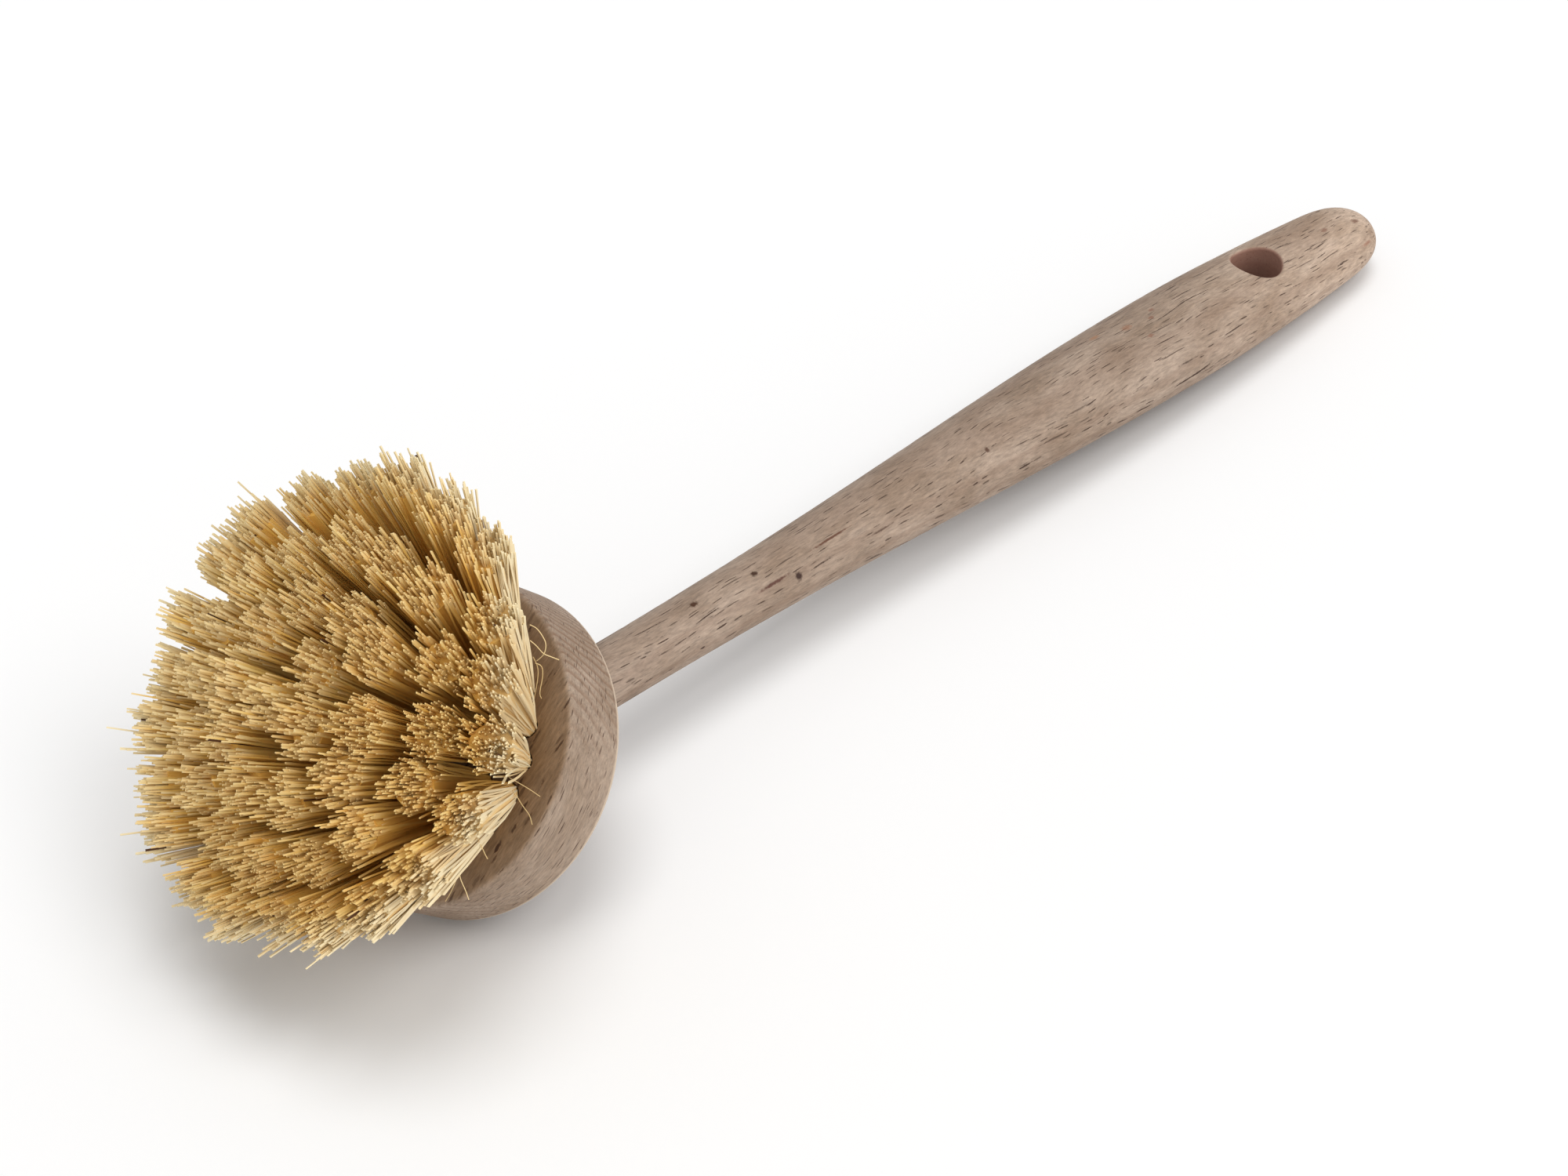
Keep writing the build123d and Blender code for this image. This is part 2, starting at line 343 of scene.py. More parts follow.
    # Ray flecks: thin spindles along the grain, one in most cells of a stretched lattice.
    # The real ones are 0.1 mm wide, and these are 0.2 mm, so that they show.
    ragged = addNode(
        tree, "ShaderNodeTexNoise", {"Vector": wood, "Scale": beech["raggedScale"], "Detail": 2.0}
    )
    raggedBy = addNode(
        tree,
        "ShaderNodeMapRange",
        {
            0: ragged,
            (1, 2): beech["noiseSpan"],
            3: -beech["raggedReach"],
            4: beech["raggedReach"],
        },
    )
    fleckLow = None
    for fleck in look["flecks"]:
        cell = fleck["cell"]
        cellPlace = addNode(
            tree,
            "ShaderNodeVectorMath",
            {0: fibrePlace, 1: tuple(1 / c for c in cell)},
            operation="MULTIPLY",
        )
        seeds = addNode(
            tree, "ShaderNodeTexVoronoi", {"Vector": cellPlace, "Scale": 1.0, "Randomness": 1.0}
        )
        away = addNode(
            tree,
            "ShaderNodeVectorMath",
            {0: cellPlace, 1: seeds.outputs["Position"]},
            operation="SUBTRACT",
        )
        shrink = tuple(c / h for c, h in zip(cell, fleck["half"]))
        spot = raggedSpot(tree, away, shrink, raggedBy, beech["fleckEdge"], 1.0)
        chance = addNode(tree, "ShaderNodeSeparateColor", {0: seeds.outputs["Color"]})
        holds = addNode(
            tree, "ShaderNodeMath", {0: chance.outputs[0], 1: fleck["share"]}, operation="LESS_THAN"
        )
        strength = addNode(
            tree, "ShaderNodeMapRange", {0: chance.outputs[1], (3, 4): fleck["depth"]}
        )
        here = addNode(tree, "ShaderNodeMath", {0: spot, 1: holds}, operation="MULTIPLY")
        mask = addNode(tree, "ShaderNodeMath", {0: here, 1: strength}, operation="MULTIPLY")
        layers.append((mask, look["fleckBrown"], "MIX"))
        fleckLow = addNode(
            tree, "ShaderNodeMath", {0: fleckLow or 1.0, 1: mask}, operation="SUBTRACT"
        )

    for at, half, markColour, depth in marks:
        away = addNode(tree, "ShaderNodeVectorMath", {0: wood, 1: at}, operation="SUBTRACT")
        shrink = tuple(1 / size for size in half)
        mark = raggedSpot(tree, away, shrink, raggedBy, beech["markEdge"], depth)
        layers.append((mark, markColour, "MIX"))

    if "holeWall" in look:
        fromHole = addNode(
            tree,
            "ShaderNodeVectorMath",
            {0: wood, 1: (brush["holeAlong"], 0.0, 0.0)},
            operation="SUBTRACT",
        )
        flat = addNode(
            tree, "ShaderNodeVectorMath", {0: fromHole, 1: (1.0, 1.0, 0.0)}, operation="MULTIPLY"
        )
        radius = addNode(tree, "ShaderNodeVectorMath", {0: flat}, operation="LENGTH")
        wall = addNode(
            tree,
            "ShaderNodeMapRange",
            {
                0: radius,
                1: brush["holeRadius"] + look["holeWallReach"][0],
                2: brush["holeRadius"] + look["holeWallReach"][1],
                3: look["holeWallShare"],
                4: 0.0,
            },
        )
        layers.append((wall, look["holeWall"], "MIX"))

    # Painted shade on the face near the tufts, and a painted highlight on the back edge of the rim
    if "faceShadeBrown" in look:
        up = addNode(
            tree,
            "ShaderNodeVectorMath",
            {0: fromCrossing, 1: tuple(bristleDir)},
            operation="DOT_PRODUCT",
        )
        onFace = addNode(
            tree,
            "ShaderNodeMapRange",
            {
                0: up,
                1: (brush["rimHeight"] - look["faceShadeDepth"][0]) * mm,
                2: (brush["rimHeight"] - look["faceShadeDepth"][1]) * mm,
            },
        )
        fromAxis = addNode(
            tree,
            "ShaderNodeVectorMath",
            {0: fromCrossing, 1: tuple(bristleDir)},
            operation="CROSS_PRODUCT",
        )
        outFrom = addNode(tree, "ShaderNodeVectorMath", {0: fromAxis}, operation="LENGTH")
        nearTufts = addNode(
            tree,
            "ShaderNodeMapRange",
            {
                0: outFrom,
                1: look["faceShadeUntil"][0] * mm,
                2: look["faceShadeUntil"][1] * mm,
                3: 1.0,
                4: look["faceShadeLeast"],
            },
        )
        paintedFaceShade = addNode(tree, "ShaderNodeMath", {0: onFace, 1: nearTufts}, operation="MULTIPLY")
        layers.append((paintedFaceShade, look["faceShadeBrown"], "MULTIPLY"))
        # Painted highlight: a pale line along the back edge of the rim
        awayFromEdge = addNode(tree, "ShaderNodeMath", {0: up}, operation="ABSOLUTE")
        edge = addNode(
            tree,
            "ShaderNodeMapRange",
            {
                0: awayFromEdge,
                1: look["edgeHighlightWidth"][0] * mm,
                2: look["edgeHighlightWidth"][1] * mm,
                3: look["edgeHighlightShare"],
                4: 0.0,
            },
        )
        layers.append((edge, look["edgeHighlight"], "MIX"))

    colour = pored
    for mask, over, blend in layers:
        colour = addNode(
            tree,
            "ShaderNodeMix",
            {0: mask, 6: colour, 7: linear(over)},
            data_type="RGBA",
            blend_type=blend,
        )

    poreBump = addNode(
        tree,
        "ShaderNodeBump",
        {"Strength": beech["poreBump"][0], "Distance": beech["poreBump"][1] * mm, "Height": pores},
    )
    fleckBump = addNode(
        tree,
        "ShaderNodeBump",
        {
            "Strength": beech["fleckBump"][0],
            "Distance": beech["fleckBump"][1] * mm,
            "Height": fleckLow,
            "Normal": poreBump,
        },
    )
    shader = addNode(
        tree,
        "ShaderNodeBsdfPrincipled",
        {
            "Base Color": colour,
            "Roughness": beech["roughness"],
            "IOR": beech["ior"],
            "Specular IOR Level": beech["specular"],
            "Normal": fleckBump,
        },
    )
    addNode(tree, "ShaderNodeOutputMaterial", {"Surface": shader})
    return material


dress(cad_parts["head"], makeBeech("turnedBeech", headWood))
dress(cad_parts["handle"], makeBeech("shapedBeech", handleWood, handleMarks))
print("beech done")

anchor = {
    "wireGrey": "#B9B7B2",
    "roughness": (0.25, 0.45),
    "lineScale": 4000.0,  # per metre
}


def makeWire(look):
    # Drawn flat steel wire: bright, with fine lines along the draw
    material, tree = newMaterial("drawnSteelWire")
    place = addNode(tree, "ShaderNodeTexCoord")
    lines = addNode(
        tree,
        "ShaderNodeTexNoise",
        {"Vector": place.outputs["Object"], "Scale": look["lineScale"], "Detail": 2.0},
    )
    rough = addNode(tree, "ShaderNodeMapRange", {0: lines, (3, 4): look["roughness"]})
    shader = addNode(
        tree,
        "ShaderNodeBsdfPrincipled",
        {"Base Color": linear(look["wireGrey"]), "Metallic": 1.0, "Roughness": rough},
    )
    addNode(tree, "ShaderNodeOutputMaterial", {"Surface": shader})
    return material


dress(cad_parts["tuft_anchors"], makeWire(anchor))
print("anchors done")

# Bristles are plant fibre, in bundles folded over their anchors. Lengths are in millimetres
# and angles in degrees.
bristles = {
    "rings": ((17.4, 22), (12.528, 16), (7.656, 10), (2.784, 3)),  # radius, how many
    "outerSplay": 32.0,
    "leanToSide": 6.5,
    "leanFromHandle": 2.4,
    "outerRingTurn": 0.75,  # share of its spacing
    "unevenLean": 2.2,  # each tuft's own
    "moreSplay": {  # by ring and place: the tufts near the handle stand out more
        (0, 19): 2.0,
        (0, 20): 4.0,
        (0, 21): 4.5,
        (0, 0): 4.0,
        (0, 1): 2.5,
        (0, 2): 2.0,
        (0, 3): 2.0,
        (1, 15): 2.0,
        (1, 0): 2.0,
    },
    "seed": 11,
    "seedStep": 900.0,  # between a fibre's own draws
    "perTuft": 294,
    "perBunch": 6,
    "segments": 5,  # of each fibre, the first inside the hole
    "holeDepth": 5.6,
    "rootRadius": 1.55,
    "tipRadius": 3.85,
    "unevenTip": 0.12,  # each tuft's own, as a share
    "rootThickness": 0.19,
    "tipThickness": 0.37,
    "length": 27.1,
    "unevenLength": 1.1,  # each tuft's own
    "dome": 0.5,  # how much shorter a tuft is at its edge
    "lengthScatter": 1.2,
    "tipScatter": 0.35,
    "bunchSide": 1.6,  # how far a whole bunch strays, times the scatter of one fibre
    "bunchLength": 1.3,
    "stoutness": (0.75, 1.2),  # a fibre's own, times the usual thickness
    "spreadPower": 1.1,  # above 1 a tuft opens late, like a bell
    "thickenPower": 0.6,
    "coreTop": 1.9,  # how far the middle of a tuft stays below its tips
    "coreFoot": 0.9,  # its radius at the face, as a share of the root's
    "coreRadius": 3.1,
    "coreUneven": 1.8,
    "coreSides": 16,
    "coreSteps": 12,
    "coreRise": 0.92,  # how far up a fibre the core's top counts as, for its colour
    "coreTint": 0.3,
    "coreBumps": 2.0,  # noise scale of its unevenness
    "coreLines": (10.0, 120.0),  # noise scale around the core, and per metre up it
    "bow": 0.5,
    "astrayShare": 0.11,
    "astrayReach": 3.0,  # times the usual scatter
    "farShare": 0.03,
    "farLength": 2.4,
    "looseSteps": 16,
    "looseThin": 0.2,  # half their thickness, as a share of a tip's
    "looseLook": (0.6, 0.4, 0.9),  # their tint, and how far inside and up they count as, which gives them some painted open light
    "openFrom": (-0.4, 0.4),  # where a tuft's outer side begins, by the tuft's own radius; that side is painted lighter
    "openCore": (-0.2, 0.5, 0.6),
    "strawPale": "#E6C573",
    "strawGold": "#E2B052",
    "paintedShadeGold": "#C98424",
    "cutCream": "#F0E2B8",
    # painted light on the open side of the outer tufts
    "openCream": "#E8DBBC",
    "openShare": 0.85,
    "openUneven": (0.2, 0.7, 0.65),  # less so in fibres of a low tint
    "depthShadeFrom": (0.2, 0.84, 0.5),  # painted shade: where along a fibre it darkens towards the root, and how much
    "gapShadeLines": (0.4, 0.62, 0.22),
    "cutFrom": 0.88,
    "cutPale": (0.48, 0.25),  # how pale the cut ends are, and a painted light that makes them paler towards +Y
    "darkFibre": "#4B2F1C",
    "darkShare": 0.0025,
    "roughness": 0.6,
    "ior": 1.5,
    "specular": 0.15,
}

# Loose fibres at the feet of the near tufts, by ring and place. Points are millimetres above
# the face, towards +Y, and across the face from the handle side.
looseFibres = {
    (0, 17): (
        ((1.5, -15.5, 7.5), (2.0, -17.2, 7.9), (2.4, -18.8, 8.0),
         (2.6, -19.1, 7.1), (2.0, -18.1, 5.9), (1.2, -18.8, 5.6)),
        ((3.4, -16.0, 4.6), (3.0, -17.9, 3.9), (2.2, -19.2, 3.9),
         (1.4, -20.8, 4.0), (0.6, -22.7, 4.0)),
    ),
    (0, 16): (
        ((3.2, -18.6, 3.0), (2.5, -20.4, 2.4), (1.8, -21.7, 1.7),
         (1.2, -23.2, 1.1), (0.8, -24.2, 0.2)),
        ((2.0, -17.5, 2.0), (3.5, -19.0, 0.5), (4.8, -20.2, -1.2)),
    ),
    (0, 20): (
        ((5.5, -9.1, 23.3), (5, -10, 23.4), (4.4, -11, 23), (3.8, -11.9, 22.3),
         (3.2, -12.1, 21.2), (2.8, -11.8, 20.3), (2.4, -11.1, 19.2)),
        ((4.2, -9.6, 21.3), (3.4, -10.4, 21.1), (2.6, -11.6, 20.7),
         (1.6, -12.3, 20.8), (0.8, -13.2, 21)),
    ),
    (0, 18): (
        ((1.6, -14.0, 11.0), (2.0, -15.2, 11.9), (1.4, -15.6, 11.6), (0.8, -15.4, 10.7)),
        ((1.2, -13.6, 10.0), (2.2, -14.8, 9.4), (2.4, -16.2, 9.2)),
    ),
    (0, 15): (
        ((9.4, -22, -3.3), (9, -23.2, -4), (8.6, -24.4, -4.7),
         (8.3, -25.4, -5.3), (8.1, -26, -5.6)),
    ),
    (0, 14): (
        ((8, -21.5, -7.5), (6, -21.1, -9.7), (3.5, -20.4, -11.6),
         (1.5, -20.9, -13.1), (0.5, -21.5, -14.1)),
        ((7, -21.7, -8.8), (4.5, -20.7, -11.9), (2.2, -19.4, -14.5), (0.6, -18.3, -16.5)),
    ),
    (0, 19): (
        ((5, -13.1, 19.4), (4.6, -14, 19.5), (4.4, -14.9, 18.5),
         (4, -15.7, 16.3), (3.6, -16.2, 15.7)),
        ((5, -12.2, 19.9), (4.6, -13.6, 19), (4.2, -14.4, 17.5),
         (3.8, -14.9, 15.8), (3.4, -15.3, 14.3)),
    ),
}


def makeFibre(look):
    # Undyed plant fibre cut by shears: dull satin, straw gold, pale at the cut ends. Painted light
    # makes the cut ends paler towards +Y and the fibres paler where they stand open to the light;
    # painted shade makes them deep gold inside the brush.
    material, tree = newMaterial("cutPlantFibre")
    tint, rise, inner, core, pale = (
        addNode(tree, "ShaderNodeAttribute", attribute_name=name).outputs["Fac"]
        for name in ("fibreTint", "fibreRise", "fibreInner", "fibreCore", "fibreCut")
    )
    # Painted light: the outer side of the outer tufts is paler, as it stands open to the light
    standsOpen = addNode(tree, "ShaderNodeMapRange", {0: inner, 3: look["openShare"], 4: 0.0})
    uneven = addNode(tree, "ShaderNodeMapRange", {0: tint, (1, 2, 3): look["openUneven"], 4: 1.0})
    paintedOpenLight = addNode(tree, "ShaderNodeMath", {0: standsOpen, 1: uneven}, operation="MULTIPLY")
    depthShade = addNode(tree, "ShaderNodeMapRange", {0: rise, (1, 2, 3): look["depthShadeFrom"], 4: 0.0})
    innerDepthShade = addNode(tree, "ShaderNodeMath", {0: depthShade, 1: inner}, operation="MULTIPLY")
    # Painted shade between the packed fibres: dark lines about 0.3 mm wide, on the core alone
    aroundCore = addNode(tree, "ShaderNodeAttribute", attribute_name="fibreLines").outputs["Vector"]
    lines = addNode(tree, "ShaderNodeTexNoise", {"Vector": aroundCore, "Scale": 1.0, "Detail": 2.0})
    coreGapShade = addNode(tree, "ShaderNodeMapRange", {0: lines, (1, 2, 4): look["gapShadeLines"]})
    coreHere = addNode(tree, "ShaderNodeMath", {0: core, 1: inner}, operation="MULTIPLY")
    coreLineShade = addNode(tree, "ShaderNodeMath", {0: coreGapShade, 1: coreHere}, operation="MULTIPLY")
    paintedShade = addNode(tree, "ShaderNodeMath", {0: innerDepthShade, 1: coreLineShade}, operation="MAXIMUM")
    endShare = addNode(tree, "ShaderNodeMapRange", {0: rise, 1: look["cutFrom"], 2: 1.0, 4: pale})
    dark = addNode(tree, "ShaderNodeMath", {0: tint, 1: 0.0}, operation="LESS_THAN")
    colour = linear(look["strawGold"])
    for share, over in (
        (tint, "strawPale"),
        (paintedOpenLight, "openCream"),
        (paintedShade, "paintedShadeGold"),
        (endShare, "cutCream"),
        (dark, "darkFibre"),
    ):
        colour = addNode(
            tree, "ShaderNodeMix", {0: share, 6: colour, 7: linear(look[over])}, data_type="RGBA"
        )
    shader = addNode(
        tree,
        "ShaderNodeBsdfPrincipled",
        {
            "Base Color": colour,
            "Roughness": look["roughness"],
            "IOR": look["ior"],
            "Specular IOR Level": look["specular"],
        },
    )
    addNode(tree, "ShaderNodeOutputMaterial", {"Surface": shader})
    return material


tuftLengths = (
    "holeDepth",
    "rootRadius",
    "tipRadius",
    "rootThickness",
    "tipThickness",
    "length",
    "dome",
    "lengthScatter",
    "tipScatter",
    "bow",
    "farLength",
    "coreTop",
    "coreRadius",
    "coreUneven",
)
tuftNumbers = ("astrayShare", "astrayReach", "farShare", "darkShare", "bunchSide", "bunchLength")
tuftCounts = ("perTuft", "perBunch", "segments")
# What each fibre's line keeps of its own
carried = (
    ("disc", "FLOAT_VECTOR"),
    ("sway", "FLOAT_VECTOR"),
    ("bowing", "FLOAT_VECTOR"),
    ("far", "FLOAT"),
    ("stout", "FLOAT"),
)
goldenAngle = 2.399963


def makeTuftTree(look):
    # A tuft stands with its root at the origin and its fibres up Z. The edges that come in
    # are its loose fibres.
    tree = bpy.data.node_groups.new("tuftOfFibres", "GeometryNodeTree")
    sockets = [("looseEdges", "NodeSocketGeometry")]
    sockets += [(name, "NodeSocketInt") for name in tuftCounts]
    sockets += [
        (name, "NodeSocketFloat") for name in tuftLengths + tuftNumbers + ("openSide", "cutPale")
    ]
    sockets += [("seed", "NodeSocketInt"), ("fibre", "NodeSocketMaterial")]
    for name, kind in sockets:
        tree.interface.new_socket(name, in_out="INPUT", socket_type=kind)
    tree.interface.new_socket("fibres", in_out="OUTPUT", socket_type="NodeSocketGeometry")
    given = addNode(tree, "NodeGroupInput").outputs

    # Fibres stick together in small bunches. The bunches fill a disc evenly: each is turned
    # on by the golden angle and goes out by the square root of its number.
    index = addNode(tree, "GeometryNodeInputIndex")
    bunchStep = addNode(
        tree, "ShaderNodeMath", {0: index, 1: given["perBunch"]}, operation="DIVIDE"
    )
    bunchOf = addNode(tree, "ShaderNodeMath", {0: bunchStep}, operation="FLOOR")
    bunches = addNode(
        tree, "ShaderNodeMath", {0: given["perTuft"], 1: given["perBunch"]}, operation="DIVIDE"
    )
    count = addNode(tree, "ShaderNodeMath", {0: bunchOf, 1: 0.5}, operation="ADD")
    share = addNode(tree, "ShaderNodeMath", {0: count, 1: bunches}, operation="DIVIDE")
    outward = addNode(tree, "ShaderNodeMath", {0: share, 1: 0.5}, operation="POWER")
    turn = addNode(tree, "ShaderNodeMath", {0: bunchOf, 1: goldenAngle}, operation="MULTIPLY")
    turnX = addNode(tree, "ShaderNodeMath", {0: turn}, operation="COSINE")
    turnY = addNode(tree, "ShaderNodeMath", {0: turn}, operation="SINE")
    around = addNode(tree, "ShaderNodeCombineXYZ", {0: turnX, 1: turnY})
    disc = addNode(tree, "ShaderNodeVectorMath", {0: around, "Scale": outward}, operation="SCALE")

    # Each fibre's own chances, with the seed moved on for each draw
    seeds = [
        addNode(
            tree, "ShaderNodeMath", {0: given["seed"], 1: look["seedStep"] * k}, operation="ADD"
        )
        for k in range(9)
    ]
    swings = [
        addNode(
            tree,
            "FunctionNodeRandomValue",
            {0: (-1.0, -1.0, -1.0), 1: (1.0, 1.0, 1.0), "Seed": seeds[k]},
            data_type="FLOAT_VECTOR",
        )
        for k in range(3)
    ]
    chances = [
        addNode(
            tree, "FunctionNodeRandomValue", {2: 0.0, 3: 1.0, "Seed": seeds[k]}, data_type="FLOAT"
        )
        for k in range(3, 7)
    ]
    swing = addNode(tree, "ShaderNodeVectorMath", {0: swings[0], 1: swings[1]}, operation="ADD")
    astray = addNode(
        tree, "ShaderNodeMath", {0: chances[0], 1: given["astrayShare"]}, operation="LESS_THAN"
    )
    astrayMore = addNode(tree, "ShaderNodeMapRange", {0: astray, 3: 1.0, 4: given["astrayReach"]})
    astraySide = addNode(tree, "ShaderNodeCombineXYZ", {0: astrayMore, 1: astrayMore, 2: 1.0})
    bunchPull = addNode(
        tree,
        "FunctionNodeRandomValue",
        {0: (-1.0, -1.0, -1.0), 1: (1.0, 1.0, 1.0), "ID": bunchOf, "Seed": seeds[7]},
        data_type="FLOAT_VECTOR",
    )
    bunchTint = addNode(
        tree,
        "FunctionNodeRandomValue",
        {2: 0.0, 3: 1.0, "ID": bunchOf, "Seed": seeds[8]},
        data_type="FLOAT",
    )
    bunchReach = addNode(
        tree,
        "ShaderNodeCombineXYZ",
        {0: given["bunchSide"], 1: given["bunchSide"], 2: given["bunchLength"]},
    )
    bunch = addNode(
        tree, "ShaderNodeVectorMath", {0: bunchPull, 1: bunchReach}, operation="MULTIPLY"
    )
    sway = addNode(
        tree, "ShaderNodeVectorMath", {0: swing, 1: astraySide, 2: bunch}, operation="MULTIPLY_ADD"
    )
    far = addNode(
        tree, "ShaderNodeMath", {0: chances[1], 1: given["farShare"]}, operation="LESS_THAN"
    )
    stout = addNode(tree, "ShaderNodeMapRange", {0: chances[2], (3, 4): look["stoutness"]})
    bowing = addNode(
        tree, "ShaderNodeVectorMath", {0: swings[2], 1: (1.0, 1.0, 0.0)}, operation="MULTIPLY"
    )
    # Half of the tint is the bunch's and half the fibre's own. A dark fibre is below 0.
    tintSum = addNode(tree, "ShaderNodeMath", {0: chances[3], 1: bunchTint}, operation="ADD")
    isDark = addNode(
        tree, "ShaderNodeMath", {0: chances[3], 1: given["darkShare"]}, operation="LESS_THAN"
    )
    darkDrop = addNode(tree, "ShaderNodeMath", {0: isDark, 1: 2.0}, operation="MULTIPLY")
    tintHalf = addNode(tree, "ShaderNodeMath", {0: tintSum, 1: 0.5}, operation="MULTIPLY")
    tint = addNode(tree, "ShaderNodeMath", {0: tintHalf, 1: darkDrop}, operation="SUBTRACT")
    openX = addNode(tree, "ShaderNodeSeparateXYZ", {0: disc})
    openness = addNode(tree, "ShaderNodeMapRange", {0: openX.outputs[0], (1, 2): look["openFrom"]})
    opened = addNode(
        tree, "ShaderNodeMath", {0: openness, 1: given["openSide"]}, operation="MULTIPLY"
    )
    inner = addNode(tree, "ShaderNodeMath", {0: 1.0, 1: opened}, operation="SUBTRACT")

    points = addNode(tree, "GeometryNodePoints", {"Count": given["perTuft"]})
    stored = carried + (("fibreTint", "FLOAT"), ("fibreInner", "FLOAT"))
    for (name, kind), field in zip(stored, (disc, sway, bowing, far, stout, tint, inner)):
        points = addNode(
            tree,
            "GeometryNodeStoreNamedAttribute",
            {"Geometry": points, "Name": name, "Value": field},
            data_type=kind,
            domain="POINT",
        )

    # One line for each place, which then takes the fibre's path
    steps = addNode(tree, "ShaderNodeMath", {0: given["segments"], 1: 1.0}, operation="ADD")
    line = addNode(tree, "GeometryNodeCurvePrimitiveLine", {"End": (0.0, 0.0, 1.0)})
    fineLine = addNode(tree, "GeometryNodeResampleCurve", {"Curve": line, "Count": steps})
    placed = addNode(tree, "GeometryNodeInstanceOnPoints", {"Points": points, "Instance": fineLine})
    lines = addNode(tree, "GeometryNodeRealizeInstances", {0: placed})
    kept = {
        name: addNode(tree, "GeometryNodeInputNamedAttribute", {"Name": name}, data_type=kind)
        for name, kind in carried
    }
    factor = addNode(tree, "GeometryNodeSplineParameter")
    step = addNode(
        tree,
        "ShaderNodeMath",
        {0: factor.outputs["Factor"], 1: given["segments"]},
        operation="MULTIPLY",
    )
    inHole = addNode(tree, "ShaderNodeMapRange", {0: step, 1: 0.0, 2: 1.0, 3: 1.0, 4: 0.0})
    above = addNode(tree, "ShaderNodeMapRange", {0: step, 1: 1.0, 2: given["segments"]})

    # The foot on the root, the tip on the wider, domed and scattered end, and between them
    # a line that bows
    foot = addNode(
        tree,
        "ShaderNodeVectorMath",
        {0: kept["disc"], "Scale": given["rootRadius"]},
        operation="SCALE",
    )
    tipDisc = addNode(
        tree,
        "ShaderNodeVectorMath",
        {0: kept["disc"], "Scale": given["tipRadius"]},
        operation="SCALE",
    )
    scatter = addNode(
        tree,
        "ShaderNodeCombineXYZ",
        {0: given["tipScatter"], 1: given["tipScatter"], 2: given["lengthScatter"]},
    )
    tipSwayed = addNode(
        tree,
        "ShaderNodeVectorMath",
        {0: kept["sway"], 1: scatter, 2: tipDisc},
        operation="MULTIPLY_ADD",
    )
    edgeShare = addNode(
        tree, "ShaderNodeVectorMath", {0: kept["disc"], 1: kept["disc"]}, operation="DOT_PRODUCT"
    )
    domeDrop = addNode(
        tree, "ShaderNodeMath", {0: edgeShare, 1: given["dome"]}, operation="MULTIPLY"
    )
    domed = addNode(tree, "ShaderNodeMath", {0: given["length"], 1: domeDrop}, operation="SUBTRACT")
    reach = addNode(
        tree,
        "ShaderNodeMath",
        {0: kept["far"], 1: given["farLength"], 2: domed},
        operation="MULTIPLY_ADD",
    )
    tipUp = addNode(tree, "ShaderNodeCombineXYZ", {2: reach})
    tip = addNode(tree, "ShaderNodeVectorMath", {0: tipSwayed, 1: tipUp}, operation="ADD")
    span = addNode(tree, "ShaderNodeVectorMath", {0: tip, 1: foot}, operation="SUBTRACT")
    spread = addNode(tree, "ShaderNodeMath", {0: above, 1: look["spreadPower"]}, operation="POWER")
    growth = addNode(tree, "ShaderNodeCombineXYZ", {0: spread, 1: spread, 2: above})
    straight = addNode(
        tree, "ShaderNodeVectorMath", {0: span, 1: growth, 2: foot}, operation="MULTIPLY_ADD"
    )
    halfTurn = addNode(tree, "ShaderNodeMath", {0: above, 1: math.pi}, operation="MULTIPLY")
    arch = addNode(tree, "ShaderNodeMath", {0: halfTurn}, operation="SINE")
    bend = addNode(tree, "ShaderNodeMath", {0: arch, 1: given["bow"]}, operation="MULTIPLY")
    bent = addNode(
        tree, "ShaderNodeVectorMath", {0: kept["bowing"], "Scale": bend}, operation="SCALE"
    )
    bowed = addNode(tree, "ShaderNodeVectorMath", {0: straight, 1: bent}, operation="ADD")
    drop = addNode(tree, "ShaderNodeMath", {0: inHole, 1: given["holeDepth"]}, operation="MULTIPLY")
    down = addNode(tree, "ShaderNodeCombineXYZ", {2: drop})
    path = addNode(tree, "ShaderNodeVectorMath", {0: bowed, 1: down}, operation="SUBTRACT")
    shaped = addNode(tree, "GeometryNodeSetPosition", {"Geometry": lines, "Position": path})
    risen = addNode(
        tree,
        "GeometryNodeStoreNamedAttribute",
        {"Geometry": shaped, "Name": "fibreRise", "Value": above},
        data_type="FLOAT",
        domain="POINT",
    )
    thicken = addNode(
        tree, "ShaderNodeMath", {0: above, 1: look["thickenPower"]}, operation="POWER"
    )
    thickness = addNode(
        tree,
        "ShaderNodeMapRange",
        {0: thicken, 3: given["rootThickness"], 4: given["tipThickness"]},
    )
    halfThick = addNode(tree, "ShaderNodeMath", {0: thickness, 1: 0.5}, operation="MULTIPLY")
    radius = addNode(tree, "ShaderNodeMath", {0: halfThick, 1: kept["stout"]}, operation="MULTIPLY")
    sized = addNode(tree, "GeometryNodeSetCurveRadius", {"Curve": risen, "Radius": radius})

    # Loose fibres are thin, pale, partly by painted light, and rounded through their points
    loose = addNode(tree, "GeometryNodeMeshToCurve", {"Mesh": given["looseEdges"]})
    rounded = addNode(
        tree, "GeometryNodeCurveSplineType", {"Curve": loose}, spline_type="CATMULL_ROM"
    )
    looseFine = addNode(
        tree, "GeometryNodeResampleCurve", {"Curve": rounded, "Count": look["looseSteps"]}
    )
    for name, value in zip(("fibreTint", "fibreInner", "fibreRise"), look["looseLook"]):
        looseFine = addNode(
            tree,
            "GeometryNodeStoreNamedAttribute",
            {"Geometry": looseFine, "Name": name, "Value": value},
            data_type="FLOAT",
            domain="POINT",
        )
    looseRadius = addNode(
        tree,
        "ShaderNodeMath",
        {0: given["tipThickness"], 1: look["looseThin"]},
        operation="MULTIPLY",
    )
    looseSized = addNode(
        tree, "GeometryNodeSetCurveRadius", {"Curve": looseFine, "Radius": looseRadius}
    )

